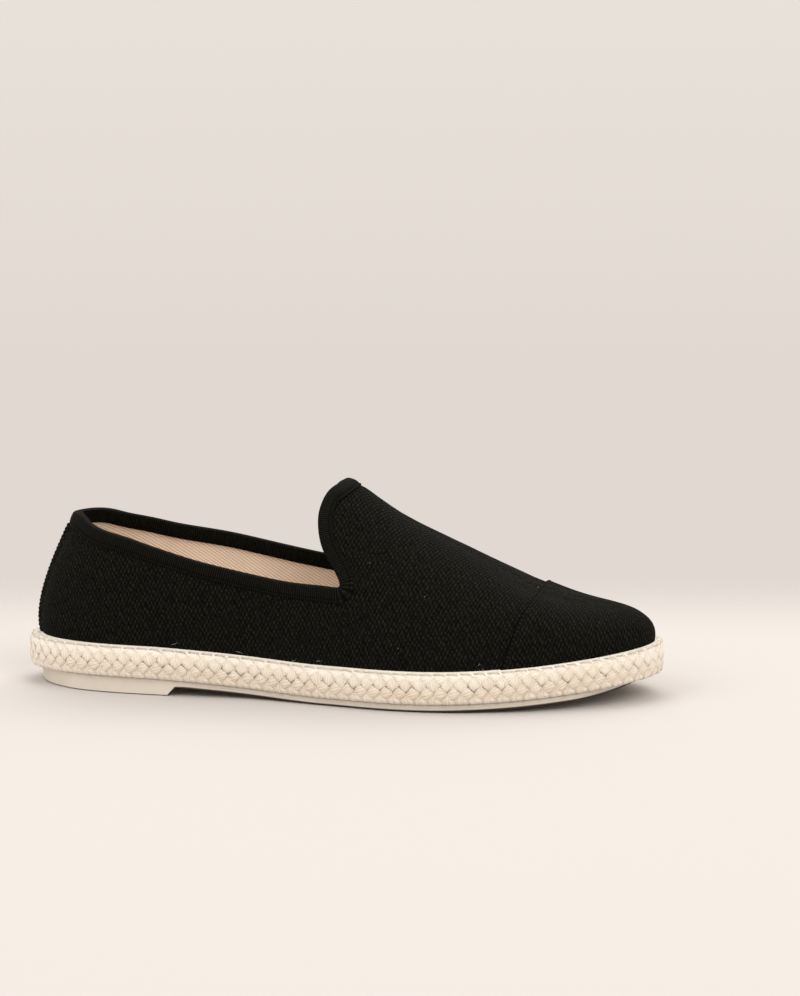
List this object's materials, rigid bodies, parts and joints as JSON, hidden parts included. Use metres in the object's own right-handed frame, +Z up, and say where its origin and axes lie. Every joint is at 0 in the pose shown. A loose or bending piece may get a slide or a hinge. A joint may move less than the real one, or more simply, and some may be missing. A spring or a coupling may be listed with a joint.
{
  "type": "espadrille",
  "caption": "Right slip-on espadrille: black canvas upper with toe cap, ribbed collar tape and high vamp, on a braided jute sole with a thin rubber outsole and low heel.",
  "frame": {"origin": "centre of the bounding box of the shoe, on the floor under it", "axes": "+X from heel to toe, +Y towards the inner side of the foot, +Z up"},
  "size_m": [0.2877, 0.1028, 0.0945],
  "materials": {
    "canvas": "coarse plain-woven cotton canvas, matt warm black",
    "tape": "ribbed grosgrain tape, matt black",
    "jute": "pale plaited jute with twisted fibres",
    "rubber": "smooth moulded rubber, off-white, satin",
    "lining": "beige cotton twill"
  },
  "bodies": {
    "root": {"outsole": "rubber", "jute_sole": "jute", "insole": "lining", "upper": "canvas", "toe_cap": "canvas", "heel_strip": "canvas", "collar_binding": "tape"}
  },
  "joints": []
}
